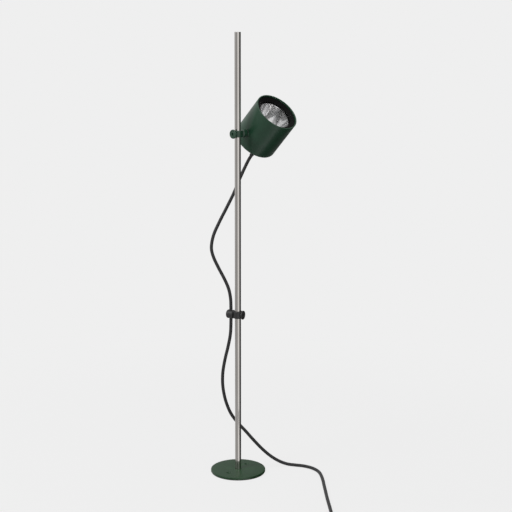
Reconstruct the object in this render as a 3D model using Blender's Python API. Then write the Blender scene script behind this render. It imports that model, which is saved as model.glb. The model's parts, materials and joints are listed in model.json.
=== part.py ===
"""Adjustable spot floor lamp: a round screw-down base, a stainless rod, a spot head that slides,
swivels and tilts on a thumb-screw clamp, and a sliding clip that holds the lead to the rod.

Metres, +Z up. The origin is on the rod's axis, at the underside of the base pad.
"""

import math

import bmesh
import bpy
from mathutils import Vector

GAP = 0.0003

# Base and rod
BASE_RADIUS = 0.0544
BASE_TOP = 0.006
BASE_EDGE = 0.0014
PAD_RADIUS = 0.0534
PAD_TOP = 0.001
FIXING_RADIUS = 0.031
FIXING_AZIMUTH = math.radians(55)
FIXING_HOLE = 0.0026
FIXING_SINK = 0.0052
ROD_RADIUS = 0.006
ROD_TOP = 0.8675
ROD_SOCKET_DEPTH = 0.001

# Head clamp
CLAMP_Z = 0.676
ARM_AZIMUTH = math.radians(45)
COLLAR_RADIUS = 0.0098
COLLAR_HALF = 0.0063
LINER_OUTER = 0.0075
BOSS_RADIUS = 0.0079
KNOB_RADIUS = 0.0088
KNOB_BACK = 0.0112
KNOB_FRONT = 0.0138

# Spot head, measured along its own axis from the tilt axis
HEAD_OFFSET = 0.0656
HEAD_LEAN = math.radians(45)
HEAD_RADIUS = 0.0438
HEAD_BORE = HEAD_RADIUS - 0.0025
HEAD_BACK = -0.0282
HEAD_RIM = 0.0578
HEAD_FLOOR = HEAD_BACK + 0.004
HEAD_STUB = HEAD_RADIUS + 0.0005
BOSS_END = HEAD_OFFSET - HEAD_STUB - 0.0014
APERTURE = 0.0327
GLASS_RADIUS = 0.0372
LIP = 0.0505
GLAND_Y = -0.0135

# Cable clip
CLIP_Z = 0.322
CLIP_AZIMUTH = math.radians(-24)
CLIP_LOBE = 0.0085
CLIP_CORD = -0.0152
CLIP_HOLE = 0.0036

# Lead
CORD_RADIUS = 0.0032
CORD_STEP = 0.0165
COIL_CENTRE = (0.132, -0.304)
COIL_OUTER = 0.0466
COIL_INNER = 0.0264
COIL_HEIGHT = 0.0134
PLUG_TAIL_X = 0.062
PLUG_Y = -0.3471
PLUG_Z = 0.0072

# The lead's way from the head's strain relief, through the clip, to the coil
CORD_ROUTE = (
    (0.0255, 0.0672, 0.6274),
    (0.0211, 0.0702, 0.6203),
    (0.0150, 0.0717, 0.6082),
    (0.0042, 0.0677, 0.5850),
    (-0.0085, 0.0580, 0.5550),
    (-0.0235, 0.0470, 0.5255),
    (-0.0375, 0.0390, 0.4985),
    (-0.0485, 0.0315, 0.4735),
    (-0.0524, 0.0262, 0.4500),
    (-0.0482, 0.0228, 0.4325),
    (-0.0388, 0.0188, 0.4128),
    (-0.0262, 0.0140, 0.3895),
    (-0.0182, 0.0098, 0.3710),
    (-0.0146, 0.0070, 0.3530),
    (-0.0139, 0.0062, 0.3370),
    (-0.0139, 0.0062, 0.3220),
    (-0.0139, 0.0062, 0.3070),
    (-0.0150, 0.0078, 0.2820),
    (-0.0197, 0.0102, 0.2555),
    (-0.0260, 0.0132, 0.2280),
    (-0.0303, 0.0166, 0.2020),
    (-0.0312, 0.0195, 0.1800),
    (-0.0292, 0.0225, 0.1580),
    (-0.0242, 0.0255, 0.1355),
    (-0.0150, 0.0288, 0.1115),
    (-0.0015, 0.0315, 0.0915),
    (0.0145, 0.0330, 0.0730),
    (0.0320, 0.0335, 0.0525),
    (0.0495, 0.0330, 0.0340),
    (0.0665, 0.0322, 0.0196),
    (0.0832, 0.0310, 0.0098),
    (0.0990, 0.0290, 0.0046),
    (0.1150, 0.0260, 0.0034),
    (0.1330, 0.0200, 0.0034),
    (0.1500, 0.0070, 0.0034),
    (0.1610, -0.0130, 0.0034),
    (0.1660, -0.0440, 0.0034),
    (0.1680, -0.0940, 0.0034),
    (0.1700, -0.1540, 0.0034),
    (0.1730, -0.2140, 0.0034),
    (0.1750, -0.2794, 0.0034),
)


def material(name, colour, roughness, metallic=0.0):
    made = bpy.data.materials.new(name)
    made.use_nodes = True
    shader = made.node_tree.nodes["Principled BSDF"]
    shader.inputs["Base Color"].default_value = (*colour, 1.0)
    shader.inputs["Roughness"].default_value = roughness
    shader.inputs["Metallic"].default_value = metallic
    return made


def green_paint():
    return material("green_paint", (0.016, 0.045, 0.027), 0.32)


def brushed_stainless():
    return material("brushed_stainless", (0.60, 0.57, 0.54), 0.30, 1.0)


def bright_steel():
    return material("bright_steel", (0.62, 0.62, 0.62), 0.25, 1.0)


def bare_aluminium():
    return material("bare_aluminium", (0.72, 0.72, 0.73), 0.40, 1.0)


def silver_mirror():
    return material("silver_mirror", (0.85, 0.84, 0.83), 0.12, 1.0)


def black_plastic():
    return material("black_plastic", (0.018, 0.018, 0.018), 0.45)


def clear_glass():
    made = material("clear_glass", (0.95, 0.96, 0.96), 0.05)
    made.node_tree.nodes["Principled BSDF"].inputs["Transmission Weight"].default_value = 1.0
    return made


def black_rubber():
    return material("black_rubber", (0.014, 0.014, 0.014), 0.65)


def phosphor():
    return material("phosphor", (0.85, 0.72, 0.30), 0.50)


def ceramic_white():
    return material("ceramic_white", (0.80, 0.80, 0.78), 0.45)


def frame_empty(name, parent=None, location=(0, 0, 0), rotation=(0, 0, 0)):
    empty = bpy.data.objects.new(name, None)
    bpy.context.scene.collection.objects.link(empty)
    empty.parent = parent
    empty.location = location
    empty.rotation_euler = rotation
    return empty


def add_object(name, bm, finish, parent, location=(0, 0, 0), rotation=(0, 0, 0)):
    bmesh.ops.recalc_face_normals(bm, faces=bm.faces)
    mesh = bpy.data.meshes.new(name)
    bm.to_mesh(mesh)
    bm.free()
    mesh.shade_smooth()
    mesh.set_sharp_from_angle(angle=math.radians(35))
    if finish:
        mesh.materials.append(finish)
    obj = bpy.data.objects.new(name, mesh)
    bpy.context.scene.collection.objects.link(obj)
    obj.parent = parent
    obj.location = location
    obj.rotation_euler = rotation
    return obj


def arc(centre_r, centre_h, radius, start, end, steps=4):
    """Points of a round corner in (radius, height), from one angle to another in degrees."""
    angles = [math.radians(start + (end - start) * i / steps) for i in range(steps + 1)]
    return [(centre_r + radius * math.cos(a), centre_h + radius * math.sin(a)) for a in angles]


def turn(bm, profile, segments, centre=(0.0, 0.0)):
    """Turns a (radius, height) outline about an upright axis. An outline that begins and ends on
    the axis closes there, and any other is a ring."""
    rows = []
    for radius, height in profile:
        count = segments if radius > 0 else 1
        angles = [2 * math.pi * i / segments for i in range(count)]
        rows.append(
            [
                bm.verts.new((centre[0] + radius * math.cos(a), centre[1] + radius * math.sin(a), height))
                for a in angles
            ]
        )
    pairs = list(zip(rows, rows[1:]))
    if profile[0][0] > 0:
        pairs.append((rows[-1], rows[0]))
    for upper, lower in pairs:
        for i in range(segments):
            j = (i + 1) % segments
            corners = [upper[i % len(upper)], lower[i % len(lower)], lower[j % len(lower)], upper[j % len(upper)]]
            bm.faces.new(list(dict.fromkeys(corners)))


def turned(name, profile, finish, parent, segments=28, centres=((0.0, 0.0),), **place):
    """A turned piece, or a group of the same piece at several centres."""
    bm = bmesh.new()
    for centre in centres:
        turn(bm, profile, segments, centre)
    return add_object(name, bm, finish, parent, **place)


def rod_outline(radius, low, high):
    return [(0, high), (radius, high), (radius, low), (0, low)]


def ring_outline(inner, outer, low, high):
    return [(inner, high), (outer, high), (outer, low), (inner, low)]


def block(bm, low, high):
    corners = [bm.verts.new((x, y, z)) for x in (low[0], high[0]) for y in (low[1], high[1]) for z in (low[2], high[2])]
    for side in ((0, 1, 3, 2), (4, 6, 7, 5), (0, 4, 5, 1), (2, 3, 7, 6), (0, 2, 6, 4), (1, 5, 7, 3)):
        bm.faces.new([corners[i] for i in side])


def helper(obj):
    obj.hide_render = True
    obj.display_type = "WIRE"
    return obj


def boolean(obj, other, operation):
    modifier = obj.modifiers.new(operation.lower(), "BOOLEAN")
    modifier.operation = operation
    modifier.solver = "EXACT"
    modifier.object = helper(other)


def cut(obj, other):
    boolean(obj, other, "DIFFERENCE")


def join(obj, other):
    boolean(obj, other, "UNION")


ALONG_X = (0, math.radians(90), 0)
AGAINST_X = (0, math.radians(-90), 0)


def fixing_points():
    x = FIXING_RADIUS * math.cos(FIXING_AZIMUTH)
    y = FIXING_RADIUS * math.sin(FIXING_AZIMUTH)
    return ((x, y), (-x, -y))


def base(finish, rubber, steel):
    plate = turned(
        "base_plate",
        [(0, BASE_TOP)]
        + arc(BASE_RADIUS - BASE_EDGE, BASE_TOP - BASE_EDGE, BASE_EDGE, 90, 0)
        + [(BASE_RADIUS, PAD_TOP + GAP), (0, PAD_TOP + GAP)],
        finish,
        None,
        segments=64,
    )
    through = [(0, 0.02), (FIXING_SINK, 0.02), (FIXING_SINK, BASE_TOP)]
    through += [(FIXING_HOLE, BASE_TOP - 0.0022), (FIXING_HOLE, -0.01), (0, -0.01)]
    cut(plate, turned("fixing_hole_cutter", through, None, None, 16, centres=fixing_points()))
    cut(plate, turned("socket_cutter", rod_outline(ROD_RADIUS + GAP, BASE_TOP - ROD_SOCKET_DEPTH, 0.02), None, None))
    sink = [(0, 0.02), (0.0033, 0.02), (0.0033, 0.0038), (0.0062, 0.0009), (0.0062, -0.01), (0, -0.01)]
    cut(plate, turned("foot_screw_cutter", sink, None, None, 20))
    pad = turned("base_pad", rod_outline(PAD_RADIUS, 0.0, PAD_TOP), rubber, None, segments=48)
    cut(pad, turned("pad_hole_cutter", rod_outline(0.0034, -0.01, 0.02), None, None, 16, centres=fixing_points()))
    screw = [(0, 0.0018), (0.0012, 0.0018), (0.0012, PAD_TOP + GAP), (0.0056, PAD_TOP + GAP)]
    screw += [(0.0029, 0.0040), (0.0029, 0.0200), (0, 0.0200)]
    turned("foot_screw", screw, steel, None, 20)


def rod(finish):
    low = BASE_TOP - ROD_SOCKET_DEPTH + GAP
    edge = 0.0004
    outline = [(0, ROD_TOP), (ROD_RADIUS - edge, ROD_TOP), (ROD_RADIUS, ROD_TOP - edge), (ROD_RADIUS, low)]
    outline += [(0.0033, low), (0.0033, low + 0.018), (0, low + 0.020)]
    turned("rod", outline, finish, None, 32)


def thumb_screw(name, finish, parent, back, front, tip, rotation):
    """A round thumb screw with a domed edge, a hexagon socket and a plain stud."""
    edge = 0.0013
    outline = [(0, front)] + arc(KNOB_RADIUS - edge, front - edge, edge, 90, 0, 3)
    outline += arc(KNOB_RADIUS - 0.0008, back + 0.0008, 0.0008, 0, -90, 2)
    outline += [(0.0021, back), (0.0021, tip), (0, tip)]
    knob = turned(name, outline, finish, parent, 28, rotation=rotation)
    socket = rod_outline(0.0030, front - 0.0020, front + 0.005)
    cut(knob, turned(name + "_socket_cutter", socket, None, parent, 6, rotation=rotation))


def head_clamp(paint, plastic, steel):
    axis = frame_empty("clamp_axis", None, (0, 0, CLAMP_Z), (0, 0, ARM_AZIMUTH))
    turned(
        "clamp_liner",
        ring_outline(ROD_RADIUS + GAP, LINER_OUTER - GAP, -COLLAR_HALF + 0.0002, COLLAR_HALF - 0.0002),
        plastic,
        axis,
    )
    edge = 0.0010
    collar = [(LINER_OUTER, COLLAR_HALF)] + arc(COLLAR_RADIUS - edge, COLLAR_HALF - edge, edge, 90, 0, 3)
    collar += arc(COLLAR_RADIUS - edge, -COLLAR_HALF + edge, edge, 0, -90, 3) + [(LINER_OUTER, -COLLAR_HALF)]
    body = turned("clamp_body", collar, paint, axis)
    boss = [(0, BOSS_END)] + arc(BOSS_RADIUS - 0.0005, BOSS_END - 0.0005, 0.0005, 90, 0, 2)
    boss += [(BOSS_RADIUS, 0.0115), (0.0060, 0.0086), (0, 0.0086)]
    join(body, turned("boss_adder", boss, None, axis, 28, rotation=ALONG_X))
    neck = rod_outline(0.0052, 0.0084, KNOB_BACK - GAP)
    join(body, turned("neck_adder", neck, None, axis, 20, rotation=AGAINST_X))
    cut(body, turned("stud_cutter", rod_outline(0.0025, 0.0060, 0.02), None, axis, 16, rotation=AGAINST_X))
    cut(body, turned("pivot_cutter", rod_outline(0.0033, 0.0118, 0.03), None, axis, 16, rotation=ALONG_X))
    thumb_screw("clamp_knob", paint, axis, KNOB_BACK, KNOB_FRONT, 0.0078, AGAINST_X)

    # The grub screw that keeps the tilt pivot in the boss points down and to the front.
    grub_axis = frame_empty("grub_axis", axis, (0.0171, 0, 0), (math.radians(150), 0, 0))
    cut(body, turned("grub_cutter", rod_outline(0.0019, 0.0020, 0.02), None, grub_axis, 12))
    grub = turned("tilt_grub_screw", rod_outline(0.0016, 0.0037, 0.0077), steel, grub_axis, 12)
    cut(grub, turned("grub_socket_cutter", rod_outline(0.0009, 0.0062, 0.02), None, grub_axis, 6))
    washer = ring_outline(0.0034, 0.0078, BOSS_END + GAP, BOSS_END + 0.0011)
    turned("tilt_washer", washer, plastic, axis, 24, rotation=ALONG_X)
    return axis


def head_shell(paint, head):
    back_edge = 0.0035
    rim_edge = 0.0007
    outline = [(0, HEAD_BACK)]
    outline += arc(HEAD_RADIUS - back_edge, HEAD_BACK + back_edge, back_edge, -90, 0, 5)
    outline += arc(HEAD_RADIUS - rim_edge, HEAD_RIM - rim_edge, rim_edge, 0, 90, 3)
    outline += arc(HEAD_BORE + rim_edge, HEAD_RIM - rim_edge, rim_edge, 90, 180, 3)
    outline += [(HEAD_BORE, HEAD_FLOOR), (0, HEAD_FLOOR)]
    shell = turned("head_housing", outline, paint, head, 48)
    stub = rod_outline(0.0078, -HEAD_STUB, 0.0015 - HEAD_RADIUS)
    join(shell, turned("stub_adder", stub, None, head, 20, rotation=ALONG_X))
    cut(shell, turned("pivot_hole_cutter", rod_outline(0.0033, -0.060, -0.030), None, head, 16, rotation=ALONG_X))
    gland_hole = rod_outline(0.0054, HEAD_BACK - 0.01, HEAD_FLOOR + 0.01)
    cut(shell, turned("gland_hole_cutter", gland_hole, None, head, 20, centres=((0, GLAND_Y),)))


def head_pivot(steel, head):
    """The screw through the wall of the head that turns in the clamp's boss."""
    tip = 0.0122 - HEAD_OFFSET
    seat = 0.0022 - HEAD_BORE
    outline = [(0, seat + 0.0038), (0.0052, seat + 0.0038), (0.0052, seat), (0.0030, seat), (0.0030, tip), (0, tip)]
    turned("pivot_screw", outline, steel, head, 20, rotation=ALONG_X)
    washer = ring_outline(0.0033, 0.0070, 0.0009 - HEAD_BORE, seat - GAP)
    turned("pivot_washer", washer, steel, head, 20, rotation=ALONG_X)


def head_front(black, glass, rubber, mirror, head):
    cone = [(APERTURE, LIP - 0.0011), (APERTURE, LIP), (HEAD_BORE - 0.0014, LIP + 0.0045)]
    cone += [(HEAD_BORE - GAP, LIP + 0.0045), (HEAD_BORE - GAP, LIP - 0.0011)]
    turned("front_baffle", cone, black, head, 48)
    turned("glass_gasket", ring_outline(APERTURE + 0.001, GLASS_RADIUS, LIP - 0.0022, LIP - 0.0014), rubber, head, 36)
    turned("front_glass", rod_outline(GLASS_RADIUS, LIP - 0.0052, LIP - 0.0025), glass, head, 36)

    # A deep bowl that opens as the root of its depth, with a flange under the glass.
    low, high, throat, mouth, wall = 0.0126, LIP - 0.0064, 0.0096, APERTURE - 0.0004, 0.0011
    steps = 5
    bowl = []
    for i in range(steps + 1):
        share = i / steps
        bowl.append((throat + (mouth - throat) * math.sqrt(share), low + (high - low) * share))
    outside = [(r + wall, h) for r, h in reversed(bowl)]
    flange = [(mouth, high + 0.0009), (GLASS_RADIUS, high + 0.0009), (GLASS_RADIUS, high)]
    turned("reflector", bowl + flange + outside, mirror, head, 36)


def head_inside(aluminium, steel, white, yellow, black, head):
    spots = [(0.0375 * math.cos(math.radians(a)), 0.0375 * math.sin(math.radians(a))) for a in (90, 210, 330)]
    sink = [(0, 0.0100), (HEAD_BORE - 0.0004, 0.0100), (HEAD_BORE - 0.0004, 0.0080), (0.0330, 0.0080)]
    sink += [(0.0330, -0.0080), (0, -0.0080)]
    sink_body = turned("heat_sink", sink, aluminium, head, 36)
    bm = bmesh.new()
    for i in range(-3, 4):
        block(bm, (i * 0.009 - 0.003, -0.05, -0.02), (i * 0.009 + 0.003, 0.05, 0.0045))
    cut(sink_body, add_object("fin_cutter", bm, None, head))
    cut(sink_body, turned("sink_hole_cutter", rod_outline(0.0018, 0.0, 0.02), None, head, 12, centres=spots))
    pillar = [(0, HEAD_FLOOR + GAP), (0.0032, HEAD_FLOOR + GAP), (0.0032, 0.0077), (0.0017, 0.0077)]
    pillar += [(0.0017, 0.0), (0, 0.0)]
    screw = [(0, 0.0122), (0.0028, 0.0122), (0.0028, 0.0103), (0.0014, 0.0103), (0.0014, 0.0012), (0, 0.0012)]
    for number, (x, y) in enumerate(spots, 1):
        turned(f"sink_pillar_{number}", pillar, aluminium, head, 12, location=(x, y, 0))
        turned(f"sink_screw_{number}", screw, steel, head, 12, location=(x, y, 0))
    turned("led_board", rod_outline(0.0150, 0.0103, 0.0117), white, head, 28)
    turned("led_chip", rod_outline(0.0080, 0.0120, 0.0130), yellow, head, 24)

    bm = bmesh.new()
    block(bm, (-0.025, -0.0010, -0.0238), (0.025, 0.0280, -0.0105))
    case = add_object("led_driver", bm, black, head)
    bevel = case.modifiers.new("edges", "BEVEL")
    bevel.width = 0.0012
    bevel.segments = 2


def head_gland(black, rubber, head):
    """The cable gland at the back, its nut inside, and the sleeve that keeps the lead from kinking."""
    place = {"location": (0, GLAND_Y, 0)}
    outer = HEAD_BACK - GAP
    body = [(0.0036, -0.0200), (0.0050, -0.0200), (0.0050, outer), (0.0085, outer), (0.0085, outer - 0.0035)]
    body += [(0.0072, outer - 0.0050), (0.0036, outer - 0.0050)]
    turned("gland_body", body, black, head, 20, **place)
    nut = turned("gland_nut", rod_outline(0.0086, HEAD_FLOOR + GAP, HEAD_FLOOR + 0.003), black, head, 6, **place)
    cut(nut, turned("nut_bore_cutter", rod_outline(0.0053, -0.03, 0.0), None, head, 20, **place))
    top = outer - 0.0053
    sleeve = [(0, top), (0.0058, top), (0.0056, top - 0.003), (0.0038, top - 0.0195), (0.0036, top - 0.0200)]
    turned("head_strain_relief", sleeve + [(0, top - 0.0200)], rubber, head, 20, **place)


def spot_head(finishes, clamp):
    paint, steel, black, glass, rubber, mirror, aluminium, white, yellow = finishes
    head = frame_empty("head_axis", clamp, (HEAD_OFFSET, 0, 0), (HEAD_LEAN, 0, 0))
    head_shell(paint, head)
    head_pivot(steel, head)
    head_front(black, glass, rubber, mirror, head)
    head_inside(aluminium, steel, white, yellow, black, head)
    head_gland(black, rubber, head)


def cable_clip(plastic):
    axis = frame_empty("clip_axis", None, (0, 0, CLIP_Z), (0, 0, CLIP_AZIMUTH))
    half = 0.0070
    outer = 0.0092
    edge = 0.0010
    liner = ring_outline(ROD_RADIUS + GAP, 0.0070, -half + 0.0002, half - 0.0002)
    turned("clip_liner", liner, plastic, axis)
    collar = [(0.0073, half)] + arc(outer - edge, half - edge, edge, 90, 0, 3)
    collar += arc(outer - edge, -half + edge, edge, 0, -90, 3) + [(0.0073, -half)]
    body = turned("clip_body", collar, plastic, axis)
    end = 0.0233
    near = 0.0086
    soft = 0.0030
    lobe = [(0, end)] + arc(CLIP_LOBE - soft, end - soft, soft, 90, 0, 4)
    lobe += arc(CLIP_LOBE - 0.0020, near + 0.0016, 0.0020, 0, -50, 2) + [(0.0062, near), (0, near)]
    join(body, turned("lobe_adder", lobe, None, axis, 28, rotation=AGAINST_X))
    cut(body, turned("cord_hole_cutter", rod_outline(CLIP_HOLE, -0.02, 0.02), None, axis, 20, centres=((CLIP_CORD, 0),)))
    neck = rod_outline(0.0060, 0.0080, 0.0093)
    join(body, turned("clip_neck_adder", neck, None, axis, 20, rotation=ALONG_X))
    cut(body, turned("clip_stud_cutter", rod_outline(0.0025, 0.0060, 0.02), None, axis, 16, rotation=ALONG_X))
    thumb_screw("clip_knob", plastic, axis, 0.0096, 0.0122, 0.0074, ALONG_X)


def smooth_points(route, step):
    """Evenly spaced points on a smooth curve through the route's own points."""
    ends = [2 * Vector(route[0]) - Vector(route[1]), 2 * Vector(route[-1]) - Vector(route[-2])]
    knots = [ends[0]] + [Vector(p) for p in route] + [ends[1]]
    dense = []
    for before, a, b, after in zip(knots, knots[1:], knots[2:], knots[3:]):
        for i in range(24):
            t = i / 24
            run = (b - a).length
            lead_in = (b - before) / ((b - a).length + (a - before).length) * run
            lead_out = (after - a) / ((after - b).length + (b - a).length) * run
            dense.append(
                a * (2 * t**3 - 3 * t**2 + 1)
                + lead_in * (t**3 - 2 * t**2 + t)
                + b * (3 * t**2 - 2 * t**3)
                + lead_out * (t**3 - t**2)
            )
    dense.append(Vector(route[-1]))
    lengths = [0.0]
    for a, b in zip(dense, dense[1:]):
        lengths.append(lengths[-1] + (b - a).length)
    count = max(2, round(lengths[-1] / step))
    points = []
    k = 0
    for i in range(count + 1):
        want = lengths[-1] * i / count
        while k < len(dense) - 2 and lengths[k + 1] < want:
            k += 1
        share = (want - lengths[k]) / (lengths[k + 1] - lengths[k])
        points.append(dense[k].lerp(dense[k + 1], min(share, 1.0)))
    return points


def cord_tube(name, route, rubber):
    points = smooth_points(route, CORD_STEP)
    curve = bpy.data.curves.new(name, "CURVE")
    curve.dimensions = "3D"
    curve.bevel_depth = CORD_RADIUS
    curve.bevel_resolution = 2
    curve.use_fill_caps = True
    spline = curve.splines.new("POLY")
    spline.points.add(len(points) - 1)
    for target, point in zip(spline.points, points):
        target.co = (*point, 1.0)
    curve.materials.append(rubber)
    obj = bpy.data.objects.new(name, curve)
    bpy.context.scene.collection.objects.link(obj)


def lead_end(rubber, plastic, steel):
    """The coil of spare lead with its tie, and the plug that lies beside it."""
    low = 0.0004
    turned(
        "cord_coil",
        ring_outline(COIL_INNER, COIL_OUTER, low, low + COIL_HEIGHT),
        rubber,
        None,
        40,
        location=(*COIL_CENTRE, 0),
    )
    bm = bmesh.new()
    half_width, thick = 0.005, 0.0012
    inner = math.sqrt(COIL_INNER**2 - half_width**2) - 2 * GAP
    outer, top = COIL_OUTER + GAP, low + COIL_HEIGHT + GAP
    outline = [(inner - thick, low), (inner, low), (inner, top), (outer, top), (outer, low)]
    outline += [(outer + thick, low), (outer + thick, top + thick), (inner - thick, top + thick)]
    for y in (-half_width, half_width):
        for r, z in outline:
            bm.verts.new((-r, y, z))
    bm.verts.ensure_lookup_table()
    count = len(outline)
    for i in range(count):
        j = (i + 1) % count
        bm.faces.new([bm.verts[k] for k in (i, j, count + j, count + i)])
    bm.faces.new([bm.verts[i] for i in range(count)])
    bm.faces.new([bm.verts[count + i] for i in range(count)])
    add_object("coil_tie", bm, rubber, None, location=(*COIL_CENTRE, 0))

    tail = ((0.1075, PLUG_Y, 0.0100), (0.0920, PLUG_Y - 0.001, 0.0088), (0.0780, PLUG_Y - 0.001, 0.0076))
    cord_tube("cord_tail", tail + ((PLUG_TAIL_X + 0.0004, PLUG_Y, PLUG_Z),), rubber)
    plug(rubber, plastic, steel)


def plug(rubber, plastic, steel):
    """A flat two-pin mains plug that lies on its side, its pins away from the lead."""
    axis = frame_empty("plug_axis", None, (PLUG_TAIL_X, PLUG_Y, PLUG_Z), (0, 0, math.radians(180)))
    sleeve = [(0, 0.0), (0.0038, 0.0), (0.0052, 0.0220), (0, 0.0220)]
    turned("plug_strain_relief", sleeve, rubber, axis, 16, rotation=ALONG_X)
    bm = bmesh.new()
    block(bm, (0.0223, -0.0175, -0.0066), (0.0560, 0.0175, 0.0066))
    for vert in bm.verts:
        if vert.co.x < 0.03:
            vert.co.y *= 0.46
    body = add_object("plug_body", bm, plastic, axis)
    bevel = body.modifiers.new("edges", "BEVEL")
    bevel.width = 0.0030
    bevel.segments = 3
    pin = [(0, 0.0753), (0.0013, 0.0753), (0.0020, 0.0743), (0.0020, 0.0563), (0, 0.0563)]
    for number, side in enumerate((-0.0093, 0.0093), 1):
        turned(f"plug_pin_{number}", pin, steel, axis, 12, location=(0, side, 0), rotation=ALONG_X)


def main():
    for obj in list(bpy.data.objects):
        bpy.data.objects.remove(obj, do_unlink=True)
    paint = green_paint()
    steel = bright_steel()
    black = black_plastic()
    rubber = black_rubber()
    base(paint, rubber, steel)
    rod(brushed_stainless())
    clamp = head_clamp(paint, black, steel)
    finishes = (paint, steel, black, clear_glass(), rubber, silver_mirror(), bare_aluminium(), ceramic_white(), phosphor())
    spot_head(finishes, clamp)
    cable_clip(black)
    cord_tube("cord_run", CORD_ROUTE, rubber)
    lead_end(rubber, black, steel)


main()
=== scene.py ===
"""The looks of the adjustable spot floor lamp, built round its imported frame. Metres, +Z up."""

import json
import math

import bmesh
import bpy
from mathutils import Matrix, Vector


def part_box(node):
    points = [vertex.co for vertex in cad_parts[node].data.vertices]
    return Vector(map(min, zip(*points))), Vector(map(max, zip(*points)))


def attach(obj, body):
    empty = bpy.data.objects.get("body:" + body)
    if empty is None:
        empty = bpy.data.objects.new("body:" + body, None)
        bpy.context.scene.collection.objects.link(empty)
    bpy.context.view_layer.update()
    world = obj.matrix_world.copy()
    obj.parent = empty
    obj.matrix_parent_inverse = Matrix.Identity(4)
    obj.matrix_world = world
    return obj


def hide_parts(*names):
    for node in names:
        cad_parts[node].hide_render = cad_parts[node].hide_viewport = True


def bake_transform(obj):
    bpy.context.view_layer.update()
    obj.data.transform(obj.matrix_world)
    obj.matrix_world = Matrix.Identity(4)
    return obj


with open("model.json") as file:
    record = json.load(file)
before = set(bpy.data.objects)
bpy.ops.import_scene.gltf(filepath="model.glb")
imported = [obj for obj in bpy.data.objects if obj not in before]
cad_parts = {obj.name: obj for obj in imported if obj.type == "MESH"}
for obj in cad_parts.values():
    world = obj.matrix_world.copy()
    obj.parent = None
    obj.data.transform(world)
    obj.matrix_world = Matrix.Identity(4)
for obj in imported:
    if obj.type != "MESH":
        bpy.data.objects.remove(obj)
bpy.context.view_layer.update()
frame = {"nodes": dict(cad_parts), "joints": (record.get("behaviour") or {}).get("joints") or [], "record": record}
NODES = frame["nodes"]
JOINTS = {joint["name"]: joint for joint in frame["joints"]}

GAP = 0.0003
CORD_DIAMETER = 0.0064
CORD_SIDES = 20
RING_STEP = 0.0022

# Cutters reach past the part, and the voxel sets how fine a softened part is
CUT_PAST = 0.02
CUT_BELOW = -0.01
SOFTEN_VOXEL = 0.00032

# The lead's way from the head's strain relief, through the clip, to the coil
CORD_ROUTE = (
    (0.0255, 0.0672, 0.6274),
    (0.0211, 0.0702, 0.6203),
    (0.0150, 0.0717, 0.6082),
    (0.0042, 0.0677, 0.5850),
    (-0.0085, 0.0580, 0.5550),
    (-0.0235, 0.0470, 0.5255),
    (-0.0375, 0.0390, 0.4985),
    (-0.0485, 0.0315, 0.4735),
    (-0.0524, 0.0262, 0.4500),
    (-0.0482, 0.0228, 0.4325),
    (-0.0388, 0.0188, 0.4128),
    (-0.0262, 0.0140, 0.3895),
    (-0.0182, 0.0098, 0.3710),
    (-0.0146, 0.0070, 0.3530),
    (-0.0139, 0.0062, 0.3370),
    (-0.0139, 0.0062, 0.3220),
    (-0.0139, 0.0062, 0.3070),
    (-0.0150, 0.0078, 0.2820),
    (-0.0197, 0.0102, 0.2555),
    (-0.0260, 0.0132, 0.2280),
    (-0.0303, 0.0166, 0.2020),
    (-0.0312, 0.0195, 0.1800),
    (-0.0292, 0.0225, 0.1580),
    (-0.0242, 0.0255, 0.1355),
    (-0.0150, 0.0288, 0.1115),
    (-0.0015, 0.0315, 0.0915),
    (0.0145, 0.0330, 0.0730),
    (0.0320, 0.0335, 0.0525),
    (0.0495, 0.0330, 0.0340),
    (0.0665, 0.0322, 0.0196),
    (0.0832, 0.0310, 0.0098),
    (0.0990, 0.0290, 0.0046),
    (0.1150, 0.0260, 0.0034),
    (0.1330, 0.0200, 0.0034),
    (0.1500, 0.0070, 0.0034),
    (0.1610, -0.0130, 0.0034),
    (0.1660, -0.0440, 0.0034),
    (0.1680, -0.0940, 0.0034),
    (0.1700, -0.1540, 0.0034),
    (0.1730, -0.2140, 0.0034),
    (0.1750, -0.2794, 0.0034),
)


# ---------------------------------------------------------------- places read from the frame


def middle(node):
    low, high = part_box(node)
    return (low + high) / 2


def axes(origin, z, x=None):
    """The matrix of a local frame from its origin, its z axis and, roughly, its x axis."""
    z = Vector(z).normalized()
    x = Vector(x) if x is not None else z.orthogonal()
    x = (x - z * x.dot(z)).normalized()
    y = z.cross(x)
    made = Matrix((x, y, z)).transposed().to_4x4()
    made.translation = Vector(origin)
    return made


def points_in(node, place):
    """A node's points, seen from a local frame."""
    inverse = place.inverted()
    return [inverse @ vert.co for vert in NODES[node].data.vertices]


def extent(node, place):
    """Lowest and highest place of a node along a frame's z axis, and its reach from that axis."""
    points = points_in(node, place)
    heights = [p.z for p in points]
    return min(heights), max(heights), max(math.hypot(p.x, p.y) for p in points)


TILT = Vector(JOINTS["head_tilt"]["pos_m"])
ARM_AXIS = Vector(JOINTS["head_tilt"]["axis"])
BEAM = middle("front_glass") - middle("led_chip")
HEAD = axes(TILT, BEAM, ARM_AXIS)
HEAD_ARM = axes(TILT, ARM_AXIS, BEAM)
GLAND = HEAD.inverted() @ middle("gland_body")
GLAND_BACK = axes(HEAD @ Vector((GLAND.x, GLAND.y, 0)), -BEAM, ARM_AXIS)
CLAMP_Z = JOINTS["head_swivel"]["pos_m"][2]
ARM = axes((0, 0, CLAMP_Z), ARM_AXIS, (0, 0, 1))
CLAMP_UP = axes((0, 0, CLAMP_Z), (0, 0, 1), ARM_AXIS)
KNOB = axes((0, 0, CLAMP_Z), -ARM_AXIS, (0, 0, 1))
CLIP_AXIS = Vector(JOINTS["clip_knob_turn"]["axis"])
CLIP_Z = JOINTS["clip_knob_turn"]["pos_m"][2]
CLIP = axes((0, 0, CLIP_Z), CLIP_AXIS, (0, 0, 1))
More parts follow.
